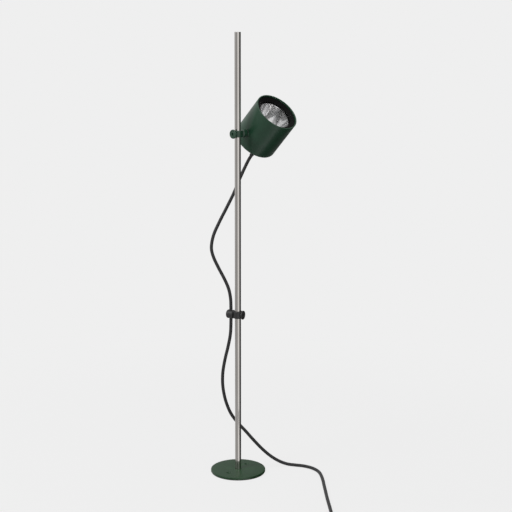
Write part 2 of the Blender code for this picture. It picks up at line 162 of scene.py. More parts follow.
CLIP_BACK = axes((0, 0, CLIP_Z), -CLIP_AXIS, (0, 0, 1))
CLIP_UP = axes((0, 0, CLIP_Z), (0, 0, 1), CLIP_AXIS)
COIL_CENTRE = middle("cord_coil")
PLUG_START = (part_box("plug_strain_relief")[1].x, middle("plug_body").y, middle("plug_strain_relief").z)
PLUG = axes(PLUG_START, (-1, 0, 0), (0, 0, 1))
WORLD = Matrix.Identity(4)


# ---------------------------------------------------------------- materials


def fill(node, **values):
    """Sets a shader node's inputs by their names, with _ for a space."""
    for name, value in values.items():
        node.inputs[name.replace("_", " ")].default_value = value


def grey(value):
    return value, value, value, 1.0


class Finish:
    """A Principled material whose colour, roughness and relief come from procedural textures."""

    def __init__(self, name, colour, roughness, metallic=0.0):
        self.material = bpy.data.materials.new(name)
        self.material.use_nodes = True
        self.tree = self.material.node_tree
        self.shader = self.tree.nodes["Principled BSDF"]
        fill(self.shader, Base_Color=(*colour, 1.0), Roughness=roughness, Metallic=metallic)
        self.colour = (*colour, 1.0)
        self.roughness = roughness
        self.place = self.tree.nodes.new("ShaderNodeTexCoord").outputs["Object"]

    def set(self, **values):
        fill(self.shader, **values)
        return self

    def noise(self, scale, stretch=(1, 1, 1), detail=3.0):
        mapping = self.tree.nodes.new("ShaderNodeMapping")
        fill(mapping, Scale=stretch)
        self.tree.links.new(self.place, mapping.inputs["Vector"])
        texture = self.tree.nodes.new("ShaderNodeTexNoise")
        fill(texture, Scale=scale, Detail=detail, Roughness=0.5, Distortion=0.0)
        self.tree.links.new(mapping.outputs["Vector"], texture.inputs["Vector"])
        return texture.outputs["Fac"]

    def cells(self, scale):
        texture = self.tree.nodes.new("ShaderNodeTexVoronoi")
        fill(texture, Scale=scale)
        self.tree.links.new(self.place, texture.inputs["Vector"])
        return texture.outputs["Distance"]

    def spread(self, factor, low, high, start, end):
        node = self.tree.nodes.new("ShaderNodeMapRange")
        fill(node, From_Min=low, From_Max=high, To_Min=start, To_Max=end)
        self.tree.links.new(factor, node.inputs["Value"])
        return node.outputs["Result"]

    def tint(self, factor, colour, low=0.4, high=0.7, most=1.0):
        """Mixes another colour over the base colour where the texture is high."""
        mix = self.tree.nodes.new("ShaderNodeMix")
        mix.data_type = "RGBA"
        self.tree.links.new(self.spread(factor, low, high, 0.0, most), mix.inputs[0])
        socket = self.shader.inputs["Base Color"]
        if socket.is_linked:
            self.tree.links.new(socket.links[0].from_socket, mix.inputs[6])
        else:
            mix.inputs[6].default_value = self.colour
        mix.inputs[7].default_value = (*colour, 1.0)
        self.tree.links.new(mix.outputs[2], socket)
        return self

    def vary_roughness(self, factor, amount, low=0.3, high=0.7):
        result = self.spread(factor, low, high, self.roughness - amount, self.roughness + amount)
        self.tree.links.new(result, self.shader.inputs["Roughness"])
        return self

    def relief(self, factor, depth):
        """Adds a bump of that depth, in metres, over any bump there already is."""
        node = self.tree.nodes.new("ShaderNodeBump")
        fill(node, Distance=depth, Strength=1.0)
        self.tree.links.new(factor, node.inputs["Height"])
        socket = self.shader.inputs["Normal"]
        if socket.is_linked:
            self.tree.links.new(socket.links[0].from_socket, node.inputs["Normal"])
        self.tree.links.new(node.outputs["Normal"], socket)
        return self

    def edges(self):
        """Light where the surface is sharply convex: a painted highlight along the edges."""
        return self.tree.nodes.new("ShaderNodeNewGeometry").outputs["Pointiness"]


def powder_green(name, colour, coat):
    paint = Finish(name, colour, 0.36).set(Coat_Weight=coat, Coat_Roughness=0.25)
    paint.tint(paint.noise(55, detail=4), tuple(1.18 * c for c in colour), 0.35, 0.7)
    paint.tint(paint.noise(2600, detail=2), tuple(1.6 * c for c in colour), 0.62, 0.78, 0.6)
    # Lighter paint along convex edges: a painted edge highlight
    paint.tint(paint.edges(), tuple(1.9 * c for c in colour), 0.54, 0.62, 0.5)
    paint.vary_roughness(paint.noise(700, detail=4), 0.07)
    paint.relief(paint.noise(900, detail=2), 0.00006)
    return paint.relief(paint.noise(3200, detail=1), 0.00002).material


def brushed_stainless():
    steel = Finish("brushed_stainless", (0.60, 0.575, 0.55), 0.13, 1.0).set(Anisotropic=0.3)
    steel.tint(steel.noise(18, (1, 1, 0.6), 4), (0.53, 0.50, 0.47), 0.35, 0.75)
    steel.tint(steel.noise(14, (1, 1, 420), 2), (0.68, 0.66, 0.64), 0.5, 0.8, 0.5)
    steel.vary_roughness(steel.noise(12, (1, 1, 160), 3), 0.03)
    return steel.relief(steel.noise(16, (1, 1, 300), 2), 0.000002).material


def zinc_steel():
    steel = Finish("zinc_steel", (0.58, 0.59, 0.60), 0.30, 1.0)
    steel.tint(steel.noise(420, detail=4), (0.46, 0.47, 0.49), 0.45, 0.75)
    steel.tint(steel.noise(90, detail=3), (0.62, 0.60, 0.52), 0.55, 0.8, 0.4)
    steel.vary_roughness(steel.noise(1500, detail=3), 0.08)
    return steel.relief(steel.noise(2400, detail=2), 0.00002).material


def machined_aluminium():
    metal = Finish("machined_aluminium", (0.70, 0.71, 0.72), 0.38, 1.0)
    metal.tint(metal.noise(60, (1, 1, 30), 3), (0.60, 0.61, 0.62), 0.4, 0.7)
    metal.vary_roughness(metal.noise(200, (1, 1, 12), 3), 0.08)
    return metal.relief(metal.noise(90, (1, 1, 45), 2), 0.00002).material


def silver_mirror():
    mirror = Finish("silver_mirror", (0.80, 0.79, 0.80), 0.14, 1.0)
    mirror.tint(mirror.noise(60, detail=3), (0.74, 0.71, 0.70), 0.45, 0.75)
    mirror.vary_roughness(mirror.noise(300, detail=4), 0.05)
    return mirror.relief(mirror.noise(180, detail=2), 0.00002).material


def moulded_black():
    colour, grain = (0.028, 0.028, 0.028), 1500
    plastic = Finish("moulded_black", colour, 0.50)
    light = tuple(2.6 * c for c in colour)
    plastic.tint(plastic.noise(grain, detail=2), light, 0.58, 0.72, 0.8)
    plastic.tint(plastic.noise(120, detail=4), tuple(0.7 * c for c in colour), 0.5, 0.8, 0.7)
    # Lighter plastic along convex edges: a painted edge highlight
    plastic.tint(plastic.edges(), light, 0.53, 0.62, 0.5)
    plastic.vary_roughness(plastic.noise(600, detail=3), 0.08)
    return plastic.relief(plastic.noise(grain * 1.3, detail=2), 0.00005).material


def black_rubber():
    rubber = Finish("black_rubber", (0.014, 0.014, 0.015), 0.58).set(Sheen_Weight=0.12, Sheen_Roughness=0.5)
    rubber.tint(rubber.noise(260, detail=4), (0.022, 0.022, 0.023), 0.4, 0.75)
    rubber.tint(rubber.noise(2200, detail=2), (0.045, 0.044, 0.042), 0.66, 0.8, 0.5)
    rubber.vary_roughness(rubber.noise(500, detail=3), 0.08)
    return rubber.relief(rubber.noise(1900, detail=2), 0.00003).material


def antiglare_black():
    """Deep matt black, for the ring round the glass."""
    black = Finish("antiglare_black", (0.0035, 0.0035, 0.0035), 0.75).set(Specular_IOR_Level=0.2)
    black.tint(black.noise(1400, detail=2), (0.007, 0.007, 0.007), 0.5, 0.75)
    black.vary_roughness(black.noise(700, detail=2), 0.06)
    return black.relief(black.noise(2000, detail=2), 0.00004).material


def clear_glass():
    glass = Finish("clear_glass", (0.97, 0.98, 0.98), 0.012).set(Transmission_Weight=1.0, IOR=1.45)
    glass.tint(glass.noise(90, detail=4), (0.92, 0.94, 0.94), 0.5, 0.8, 0.6)
    glass.vary_roughness(glass.noise(120, detail=4), 0.008)
    return glass.relief(glass.noise(300, detail=2), 0.000002).material


def ceramic_white():
    ceramic = Finish("ceramic_white", (0.78, 0.78, 0.76), 0.45)
    ceramic.tint(ceramic.noise(300, detail=3), (0.70, 0.70, 0.66), 0.45, 0.7)
    ceramic.vary_roughness(ceramic.noise(900, detail=2), 0.06)
    return ceramic.relief(ceramic.noise(1800, detail=2), 0.00002).material


def yellow_phosphor():
    gel = Finish("yellow_phosphor", (0.82, 0.66, 0.22), 0.38).set(Coat_Weight=0.6)
    gel.tint(gel.cells(900), (0.90, 0.78, 0.36), 0.2, 0.6)
    gel.vary_roughness(gel.noise(700, detail=2), 0.06)
    return gel.relief(gel.cells(900), 0.00006).material


FINISHES = {
    "green_steel": powder_green("powder_green_steel", (0.011, 0.050, 0.016), 0.05),
    "green_aluminium": powder_green("powder_green_aluminium", (0.011, 0.054, 0.026), 0.15),
    "brushed_stainless": brushed_stainless(),
    "bright_steel": zinc_steel(),
    "bare_aluminium": machined_aluminium(),
    "silver_mirror": silver_mirror(),
    "black_plastic": moulded_black(),
    "clear_glass": clear_glass(),
    "black_rubber": black_rubber(),
    "ceramic_white": ceramic_white(),
    "phosphor": yellow_phosphor(),
}
ANTIGLARE = antiglare_black()


# ---------------------------------------------------------------- mesh tools


def finished(name, bm, slot, sharp=35):
    """A shaded object from a bmesh, with its slot's material."""
    bmesh.ops.recalc_face_normals(bm, faces=bm.faces)
    mesh = bpy.data.meshes.new(name)
    bm.to_mesh(mesh)
    bm.free()
    mesh.shade_smooth()
    mesh.set_sharp_from_angle(angle=math.radians(sharp))
    obj = bpy.data.objects.new(name, mesh)
    bpy.context.scene.collection.objects.link(obj)
    if slot:
        mesh.materials.append(FINISHES[slot])
    return obj


def arc(centre_r, centre_h, radius, start, end, steps=6):
    """Points of a round corner in (radius, height), from one angle to another in degrees."""
    angles = [math.radians(start + (end - start) * i / steps) for i in range(steps + 1)]
    return [(centre_r + radius * math.cos(a), centre_h + radius * math.sin(a)) for a in angles]


def around(radius, angle, centre=(0.0, 0.0)):
    """Where a point lies in plan, from its distance and direction from a centre."""
    return centre[0] + radius * math.cos(angle), centre[1] + radius * math.sin(angle)


def lathe(name, outline, slot, place=WORLD, segments=96, offset=(0.0, 0.0), sharp=35):
    """Turns a (radius, height) outline about a frame's z axis. It closes on the axis or as a ring."""
    bm = bmesh.new()
    rows = []
    for radius, height in outline:
        count = segments if radius > 0 else 1
        row = []
        for i in range(count):
            angle = 2 * math.pi * i / segments
            row.append(bm.verts.new(place @ Vector((*around(radius, angle, offset), height))))
        rows.append(row)
    pairs = list(zip(rows, rows[1:]))
    if outline[0][0] > 0:
        pairs.append((rows[-1], rows[0]))
    for upper, lower in pairs:
        for i in range(segments):
            j = (i + 1) % segments
            corners = [upper[i % len(upper)], lower[i % len(lower)]]
            corners += [lower[j % len(lower)], upper[j % len(upper)]]
            bm.faces.new(list(dict.fromkeys(corners)))
    return finished(name, bm, slot, sharp)


def rod_outline(radius, low, high):
    return [(0, high), (radius, high), (radius, low), (0, low)]


def settle(obj):
    """Applies an object's modifiers."""
    graph = bpy.context.evaluated_depsgraph_get()
    mesh = bpy.data.meshes.new_from_object(obj.evaluated_get(graph))
    obj.modifiers.clear()
    old = obj.data
    obj.data = mesh
    mesh.name = obj.name
    bpy.data.meshes.remove(old)


def combine(obj, others, operation):
    for other in others:
        modifier = obj.modifiers.new("combine", "BOOLEAN")
        modifier.operation = operation
        modifier.solver = "EXACT"
        modifier.object = other
        settle(obj)
        bpy.data.objects.remove(other, do_unlink=True)


def cut(obj, *others):
    combine(obj, others, "DIFFERENCE")


def join(obj, *others):
    combine(obj, others, "UNION")


def soften(obj, rounds):
    """Rounds every edge and inner corner, as on a casting or moulding."""
    remesh = obj.modifiers.new("remesh", "REMESH")
    remesh.mode = "VOXEL"
    remesh.voxel_size = SOFTEN_VOXEL
    remesh.use_smooth_shade = True
    smooth = obj.modifiers.new("smooth", "SMOOTH")
    smooth.factor = 0.5
    smooth.iterations = rounds
    settle(obj)
    obj.data.shade_smooth()


def stands_for(obj, body, *nodes):
    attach(obj, body)
    if nodes:
        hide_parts(*nodes)


# ---------------------------------------------------------------- the lead


def smooth_points(route, step):
    """Evenly spaced points on a smooth curve through the route's own points."""
    ends = [2 * Vector(route[0]) - Vector(route[1]), 2 * Vector(route[-1]) - Vector(route[-2])]
    knots = [ends[0]] + [Vector(p) for p in route] + [ends[1]]
    dense = []
    for before, a, b, after in zip(knots, knots[1:], knots[2:], knots[3:]):
        for i in range(24):
            t = i / 24
            run = (b - a).length
            lead_in = (b - before) / ((b - a).length + (a - before).length) * run
            lead_out = (after - a) / ((after - b).length + (b - a).length) * run
            dense.append(
                a * (2 * t**3 - 3 * t**2 + 1)
                + lead_in * (t**3 - 2 * t**2 + t)
                + b * (3 * t**2 - 2 * t**3)
                + lead_out * (t**3 - t**2)
            )
    dense.append(Vector(route[-1]))
    return even_points(dense, step)


def even_points(dense, step):
    lengths = [0.0]
    for a, b in zip(dense, dense[1:]):
        lengths.append(lengths[-1] + (b - a).length)
    count = max(2, round(lengths[-1] / step))
    points = []
    k = 0
    for i in range(count + 1):
        want = lengths[-1] * i / count
        while k < len(dense) - 2 and lengths[k + 1] < want:
            k += 1
        share = (want - lengths[k]) / (lengths[k + 1] - lengths[k])
        points.append(dense[k].lerp(dense[k + 1], min(share, 1.0)))
    return points


def path_length(points):
    return sum((b - a).length for a, b in zip(points, points[1:]))


def tube_rings(points, radius, sides):
    """Rings of points round a path, carried along it without twisting."""
    rings = []
    side = None
    for i, point in enumerate(points):
        ahead = points[min(i + 1, len(points) - 1)] - points[max(i - 1, 0)]
        ahead.normalize()
        side = ahead.orthogonal() if side is None else side - ahead * side.dot(ahead)
        side.normalize()
        other = ahead.cross(side)
        angles = [2 * math.pi * k / sides for k in range(sides)]
        rings.append([point + radius * (math.cos(a) * side + math.sin(a) * other) for a in angles])
    return rings


def tube(name, rings, slot):
    bm = bmesh.new()
    rows = [[bm.verts.new(p) for p in ring] for ring in rings]
    for a, b in zip(rows, rows[1:]):
        for i in range(len(a)):
            j = (i + 1) % len(a)
            bm.faces.new((a[i], a[j], b[j], b[i]))
    bm.faces.new(rows[0])
    bm.faces.new(rows[-1])
    return finished(name, bm, slot, 50)


def blend_lead(obj):
    """Applies a stretch of lead's transform to its mesh."""
    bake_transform(obj)


# How many stretches of lead, and how long, lie at each joint, from the head down to the clip and below it
LEAD_AT_HEAD = 2
LEAD_AT_SWIVEL = 2
LEAD_AT_SLIDE = 3
CLIP_HOLD = 0.042
STRETCH_LENGTH = 0.0390
STRETCH_BELOW_CLIP = 0.058


def lead():
    """The lead from the head to the coil, cut into stretches round the joints."""
    points = smooth_points(CORD_ROUTE, RING_STEP)
    rings = tube_rings(points, CORD_DIAMETER / 2, CORD_SIDES)
    step = path_length(points) / (len(points) - 1)
    clip_at = min(range(len(points)), key=lambda i: abs(points[i].z - CLIP_Z) + abs(points[i].x) * 0.01)
    half_hold = round(CLIP_HOLD / 2 / step)
    short = math.ceil(STRETCH_LENGTH / step)

    plan = []
    at = clip_at - half_hold
    plan.append(("lead_above_clip", at - short, at, "root", "clip", 0.0, 1.0))
    at -= short
    for k in range(LEAD_AT_SLIDE, 0, -1):
        shares = ((k - 1) / LEAD_AT_SLIDE, k / LEAD_AT_SLIDE)
        plan.append((f"lead_slack_{k}", at - short, at, "head_carriage", "root", *shares))
        at -= short
    head_part = max(short, round(at / (LEAD_AT_HEAD + LEAD_AT_SWIVEL)))
    swivel_from = LEAD_AT_HEAD * head_part
    middle_at = (swivel_from + at) // 2
    plan.append(("lead_below_head_1", swivel_from, middle_at, "clamp", "head_carriage", 0.0, 0.5))
    plan.append(("lead_below_head_2", middle_at, at, "clamp", "head_carriage", 0.5, 1.0))
    for k in range(LEAD_AT_HEAD):
        shares = (k / LEAD_AT_HEAD, (k + 1) / LEAD_AT_HEAD)
        plan.append((f"lead_at_head_{k + 1}", k * head_part, (k + 1) * head_part, "head", "clamp", *shares))

    below = clip_at + half_hold
    long = round(STRETCH_BELOW_CLIP / step)
    plan.append(("lead_below_clip_1", below, below + long, "clip", "root", 0.0, 0.5))
    plan.append(("lead_below_clip_2", below + long, below + 2 * long, "clip", "root", 0.5, 1.0))

    plan.sort(key=lambda row: row[1])
    for name, first, last, above, under, start, end in plan:
        piece = tube(name, rings[first : last + 1], "black_rubber")
        blend_lead(piece)
    held = tube("lead_in_clip", rings[clip_at - half_hold : below + 1], "black_rubber")
    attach(held, "clip")
    foot_from = below + 2 * long
    foot = tube("lead_to_floor", rings[foot_from:], "black_rubber")
    stands_for(foot, "root", "cord_run")
    return points


def ease(t):
    t = min(max(t, 0.0), 1.0)
    return t * t * (3 - 2 * t)


COIL_LAYER_TURNS = 3
COIL_CROSSING = 0.22
COIL_STEPS = 48
TURN_GAP = 0.0002


def coil_points():
    """Two layers of three turns, clockwise from the right: in towards the middle, up, and out again."""
    low, _, reach = extent("cord_coil", Matrix.Translation((COIL_CENTRE.x, COIL_CENTRE.y, 0)))
    pitch = CORD_DIAMETER + TURN_GAP
    outer = reach - CORD_DIAMETER / 2 - GAP
    radii = [outer - k * pitch for k in range(COIL_LAYER_TURNS)]
    radii = radii + radii[::-1]
    bottom = low + CORD_DIAMETER / 2
    heights = [bottom] * COIL_LAYER_TURNS + [bottom + pitch] * COIL_LAYER_TURNS
    points = []
    for turn in range(len(radii)):
        following = min(turn + 1, len(radii) - 1)
        for i in range(COIL_STEPS):
            part = i / COIL_STEPS
            share = ease((part - (1 - COIL_CROSSING)) / COIL_CROSSING)
            radius = radii[turn] + (radii[following] - radii[turn]) * share
            height = heights[turn] + (heights[following] - heights[turn]) * share
            points.append(Vector((*around(radius, -2 * math.pi * (turn + part), COIL_CENTRE), height)))
    for i in range(COIL_STEPS // 4):
        points.append(Vector((*around(outer, -2 * math.pi * i / COIL_STEPS, COIL_CENTRE), bottom + pitch)))
    return points


def coil(run):
    """The spare lead in its coil, and its tail to the plug."""
    tail_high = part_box("cord_tail")[1]
    end_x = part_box("plug_strain_relief")[1].x
    plug_y, plug_z = middle("plug_strain_relief").y, middle("plug_strain_relief").z
    start = [run[-1] + (run[-1] - run[-2]).normalized() * 0.0005]
    tail_z = tail_high.z - CORD_DIAMETER / 2
    tail = [
        Vector((COIL_CENTRE.x, plug_y, tail_z)),
        Vector((tail_high.x, plug_y, tail_z)),
        Vector((end_x + 0.030, plug_y - 0.001, (tail_z + plug_z) / 2 + 0.0003)),
        Vector((end_x + 0.015, plug_y - 0.001, plug_z + 0.0004)),
        Vector((end_x, plug_y, plug_z)),
    ]
    points = smooth_points(start + coil_points() + tail, RING_STEP)
    piece = tube("lead_coil", tube_rings(points, CORD_DIAMETER / 2, CORD_SIDES), "black_rubber")
    stands_for(piece, "root", "cord_coil", "cord_tail")
    return piece, points


# ---------------------------------------------------------------- the base and the rod


BASE_EDGE = 0.0014
FIXING_RADIUS = 0.031
FIXING_AZIMUTH = math.radians(55)
FIXING_HOLE = 0.0026
FIXING_SINK = 0.0052
SOCKET_DEPTH = 0.001
FOOT_SCREW_HOLE = 0.0033
FOOT_SCREW_SINK = 0.0062


def base():
    """The base plate, with its countersunk holes, the rod's socket and the foot screw's countersink."""
    low, high, reach = extent("base_plate", WORLD)
    outline = [(0, high), (0.030, high)] + arc(reach - BASE_EDGE, high - BASE_EDGE, BASE_EDGE, 90, 0, 12)
    outline += [(reach, low + 0.0004), (reach - 0.0004, low), (0, low)]
    disc = lathe("base_disc", outline, "green_steel", segments=192)

    mouth = FIXING_SINK + 0.0004
    hole = [(0, CUT_PAST), (mouth, CUT_PAST), (mouth, high), (FIXING_SINK, high - 0.0003)]
    hole += [(FIXING_HOLE, high - 0.0027), (FIXING_HOLE, CUT_BELOW), (0, CUT_BELOW)]
    for azimuth in (FIXING_AZIMUTH, FIXING_AZIMUTH + math.pi):
        cut(disc, lathe("hole_cutter", hole, None, segments=64, offset=around(FIXING_RADIUS, azimuth)))

    bar = extent("rod", WORLD)[2]
    socket = [(0, CUT_PAST), (bar + 0.0008, CUT_PAST), (bar + 0.0008, high), (bar + GAP, high - 0.0004)]
    socket += [(bar + GAP, high - SOCKET_DEPTH), (0, high - SOCKET_DEPTH)]
    cut(disc, lathe("socket_cutter", socket, None))

    sink = [(0, CUT_PAST), (FOOT_SCREW_HOLE, CUT_PAST), (FOOT_SCREW_HOLE, 0.0038)]
    sink += [(FOOT_SCREW_SINK, 0.0009), (FOOT_SCREW_SINK, CUT_BELOW), (0, CUT_BELOW)]
    cut(disc, lathe("foot_cutter", sink, None, segments=64))
    disc.data.set_sharp_from_angle(angle=math.radians(25))
    stands_for(disc, "root", "base_plate")


def rod():
    """The bar, with a broken top edge and the foot screw's hole in its lower end."""
    low, high, reach = extent("rod", WORLD)
    outline = [(0, high), (reach - 0.0013, high), (reach - 0.0005, high - 0.0001)]
    outline += arc(reach - 0.0004, high - 0.0006, 0.0004, 60, 0, 4)
    outline += [(reach, high * share) for share in (0.8, 0.6, 0.4, 0.2)]
    outline += [(reach, low + 0.0003), (reach - 0.0003, low), (FOOT_SCREW_HOLE, low)]
    outline += [(FOOT_SCREW_HOLE, low + 0.018), (0, low + 0.020)]
    stands_for(lathe("rod_bar", outline, "brushed_stainless", segments=128), "root", "rod")


# ---------------------------------------------------------------- screws


STUD_RADIUS = 0.0021
STUD_HOLE = 0.0026
THREAD_DEPTH = 0.0003
HEX_RADIUS = 0.0030
HEX_DEPTH = 0.0018


def thread(radius, high, low, pitch):
    """The zigzag outline of a screw thread, from its high end down."""
    outline = []
    height = high
    while height > low:
        outline += [(radius, height), (radius - THREAD_DEPTH, height - pitch / 2)]
        height -= pitch
    return outline


def thumb_screw(name, node, body, place, slot, back, tip):
    """A round thumb screw with a domed edge, a turned line, a hexagon socket and a threaded stud."""
    _, high, reach = extent(node, place)
    edge = 0.0012
    back_edge = 0.0007
    face = high - 0.0002
    outline = [(0, face), (0.0046, face), (0.0050, face - 0.0002), (0.0054, face)]
    outline += [(reach - edge - 0.0004, high)] + arc(reach - edge, high - edge, edge, 80, 0, 8)
    outline += arc(reach - back_edge, back + back_edge, back_edge, 0, -90, 4) + [(STUD_RADIUS, back)]
    outline += thread(STUD_RADIUS, back - 0.0002, tip + 0.0006, 0.0005)
    outline += [(STUD_RADIUS - 0.0004, tip), (0, tip)]
    knob = lathe(name, outline, slot, place, 96)
    cut(knob, lathe("hex_cutter", rod_outline(HEX_RADIUS, face - HEX_DEPTH, high + 0.004), None, place, 6))
    knob.data.set_sharp_from_angle(angle=math.radians(30))
    stands_for(knob, body, node)


# ---------------------------------------------------------------- the clamp


COLLAR_RADIUS = 0.0098
COLLAR_HALF = 0.0063
COLLAR_BORE = 0.0075
BOSS_RADIUS = 0.0079
BOSS_ROOT = 0.0086
KNOB_BACK = 0.0112
KNOB_TIP = 0.0078
NECK_ROOT = 0.0084
STUD_HOLE_FROM = 0.0060
PIVOT_HOLE = 0.0034
GRUB_HOLE = 0.0020


def collar(radius, half, bore, edge):
    """The outline of a ring round the rod, with rounded outer edges."""
    upper = arc(radius - edge, half - edge, edge, 90, 0)
    lower = arc(radius - edge, -half + edge, edge, 0, -90)
    return [(bore, half)] + upper + lower + [(bore, -half)]


def clamp():
    """The clamp's casting: a collar, the boss that carries the head and the thumb screw's neck."""
    end = extent("clamp_body", ARM)[1]
    ring = collar(COLLAR_RADIUS, COLLAR_HALF, COLLAR_BORE, 0.0012)
    body = lathe("clamp_casting", ring, "green_aluminium", CLAMP_UP)
    edge = 0.0006
    boss = [(0, end)] + arc(BOSS_RADIUS - edge, end - edge, edge, 90, 0, 4)
    boss += [(BOSS_RADIUS, 0.0120), (0.0066, 0.0094), (0.0062, BOSS_ROOT), (0, BOSS_ROOT)]
    join(body, lathe("boss_adder", boss, None, ARM))
    face = KNOB_BACK - GAP
    neck = [(0, face), (0.0050, face), (0.0052, 0.0104), (0.0054, NECK_ROOT), (0, NECK_ROOT)]
    join(body, lathe("neck_adder", neck, None, KNOB))
    cut(body, lathe("stud_cutter", rod_outline(STUD_HOLE, STUD_HOLE_FROM, CUT_PAST), None, KNOB, 48))
    cut(body, lathe("pivot_cutter", rod_outline(PIVOT_HOLE, 0.0117, 0.03), None, ARM, 48))
    grub = middle("tilt_grub_screw")
    foot = ARM.translation + ARM_AXIS * (grub - ARM.translation).dot(ARM_AXIS)
    inward = axes(foot, grub - foot)
    cut(body, lathe("grub_cutter", rod_outline(GRUB_HOLE, 0.0020, CUT_PAST), None, inward, 48))
    soften(body, 5)
    stands_for(body, "clamp", "clamp_body")
    screw = ("clamp_thumb_knob", "clamp_knob", "clamp_thumb_screw")
    thumb_screw(*screw, KNOB, "green_aluminium", KNOB_BACK, KNOB_TIP)


# ---------------------------------------------------------------- the spot head


WALL = 0.0025
FLOOR_THICK = 0.004
BACK_EDGE = 0.0036
RIM_EDGE = 0.0007
STUB_RADIUS = 0.0078
STUB_REACH = 0.0005
GLAND_HOLE = 0.0054
LEAD_BORE = 0.0036
BAFFLE_LIP = 0.0011
BAFFLE_STEPS = 5
BOWL_WALL = 0.0011
BOWL_MOUTH = 0.0323
BOWL_FLANGE = 0.0009
BOWL_STEPS = 28
GLAND_END = 0.0200
GLAND_THREAD = 0.0050
SLEEVE_LAP = 0.0018


def housing():
    """The head's shell, with the stub that meets the clamp and holes for the pivot and the gland."""
    points = points_in("head_housing", HEAD)
    back = min(p.z for p in points)
    rim = max(p.z for p in points)
    radius = max(p.y for p in points)
    bore = radius - WALL
    floor_at = back + FLOOR_THICK
    outline = [(0, back), (0.030, back)]
    outline += arc(radius - BACK_EDGE, back + BACK_EDGE, BACK_EDGE, -90, 0, 12)
    outline += [(radius, back + (rim - back) * k / 6) for k in range(2, 6)]
    outline += arc(radius - RIM_EDGE, rim - RIM_EDGE, RIM_EDGE, 0, 90, 6)
    outline += arc(bore + RIM_EDGE, rim - RIM_EDGE, RIM_EDGE, 90, 180, 6)
    outline += [(bore, floor_at), (0, floor_at)]
    shell = lathe("spot_housing", outline, "green_aluminium", HEAD, 192)

    inside = 0.0015 - radius
    stub = [(0, inside), (STUB_RADIUS, inside), (STUB_RADIUS, -radius)]
    stub += [(STUB_RADIUS - 0.0003, -radius - STUB_REACH), (0, -radius - STUB_REACH)]
    join(shell, lathe("stub_adder", stub, None, HEAD_ARM, 64))
    cut(shell, lathe("pivot_cutter", rod_outline(0.0033, -0.060, -0.030), None, HEAD_ARM, 48))
    hole = rod_outline(GLAND_HOLE, back - 0.01, floor_at + 0.01)
    cut(shell, lathe("gland_cutter", hole, None, HEAD, 64, (GLAND.x, GLAND.y)))
    shell.data.set_sharp_from_angle(angle=math.radians(30))
    stands_for(shell, "head", "head_housing")


def baffle():
    """The deep black stepped ring round the glass."""
    low, high, reach = extent("front_baffle", HEAD)
    inner = min(math.hypot(p.x, p.y) for p in points_in("front_baffle", HEAD))
    rise = high - low - BAFFLE_LIP
    ring = [(inner, low), (inner, low + 0.0008), (inner + 0.0003, low + BAFFLE_LIP)]
    for k in range(1, BAFFLE_STEPS + 1):
        across = inner + (reach - 0.0016 - inner) * k / BAFFLE_STEPS
        height = low + BAFFLE_LIP + rise * k / BAFFLE_STEPS
        ring += [(across - 0.0004, height - rise / BAFFLE_STEPS), (across, height)]
    ring += [(reach, high), (reach, low)]
    piece = lathe("antiglare_ring", ring[::-1], "black_plastic", HEAD, 160, sharp=28)
    piece.data.materials.clear()
    piece.data.materials.append(ANTIGLARE)
    stands_for(piece, "head", "front_baffle")


def lens():
    """The front glass, slightly domed where the ring leaves it open."""
    low, high, reach = extent("front_glass", HEAD)
    edge = 0.0004
    dome = [(0, high + 0.0010), (0.010, high + 0.00092), (0.020, high + 0.00066), (0.0285, high + 0.00026)]
    dome += [(0.0318, high + 0.00004), (0.0326, high), (reach - edge, high), (reach, high - edge)]
    dome += [(reach, low + edge), (reach - edge, low), (0, low)]
    stands_for(lathe("front_lens", dome, "clear_glass", HEAD, 160, sharp=40), "head", "front_glass")


def reflector():
    """The mirror bowl behind the glass, which opens as the root of its depth."""
    low, high, reach = extent("reflector", HEAD)
    points = points_in("reflector", HEAD)
    throat = min(math.hypot(p.x, p.y) for p in points if p.z < low + 0.0002)
    top = high - BOWL_FLANGE
    bowl = []
    for i in range(BOWL_STEPS + 1):
        share = i / BOWL_STEPS
        bowl.append((throat + (BOWL_MOUTH - throat) * math.sqrt(share), low + (top - low) * share))
    outside = [(r + BOWL_WALL, h) for r, h in reversed(bowl)]
    flange = [(BOWL_MOUTH, high), (reach, high), (reach, top)]
    piece = lathe("reflector_bowl", bowl + flange + outside[1:], "silver_mirror", HEAD, 160)
    stands_for(piece, "head", "reflector")


def gland():
    """The fluted cable gland at the back of the head, and the sleeve that keeps the lead from kinking."""
    _, nose, reach = extent("gland_body", GLAND_BACK)
    start = -min(p.z for p in points_in("head_housing", HEAD))
    body = [(LEAD_BORE, GLAND_END), (LEAD_BORE, nose)]
    body += [(0.0066, nose), (0.0072, nose - 0.0004), (0.0076, nose - 0.0015), (0.0082, nose - 0.0017)]
    body += [(reach, nose - 0.0020), (reach, start + GAP + 0.0006), (reach - 0.0002, start + GAP)]
    body += [(GLAND_THREAD, start + GAP)] + thread(GLAND_THREAD, start - 0.0003, GLAND_END + 0.0006, 0.0008)
    body += [(GLAND_THREAD - THREAD_DEPTH, GLAND_END)]
    piece = lathe("cable_gland", body, "black_plastic", GLAND_BACK, 128)
    flute(piece, GLAND_BACK, 0.0079, 18, 0.00045)
    stands_for(piece, "head", "gland_body")

    low, high, reach = extent("head_strain_relief", GLAND_BACK)
    grooved = sleeve("gland_sleeve", GLAND_BACK, low, high + SLEEVE_LAP, reach, 0.0036)
    stands_for(grooved, "head", "head_strain_relief")


def flute(obj, place, beyond, count, depth):
    """Presses flutes into the part of a turned piece that lies beyond a radius."""
    inverse = place.inverted()
    for vert in obj.data.vertices:
        point = inverse @ vert.co
        reach = math.hypot(point.x, point.y)
        if reach > beyond:
            share = 0.5 + 0.5 * math.cos(count * math.atan2(point.y, point.x))
            scale = (reach - depth * share**3) / reach
            vert.co = place @ Vector((point.x * scale, point.y * scale, point.z))


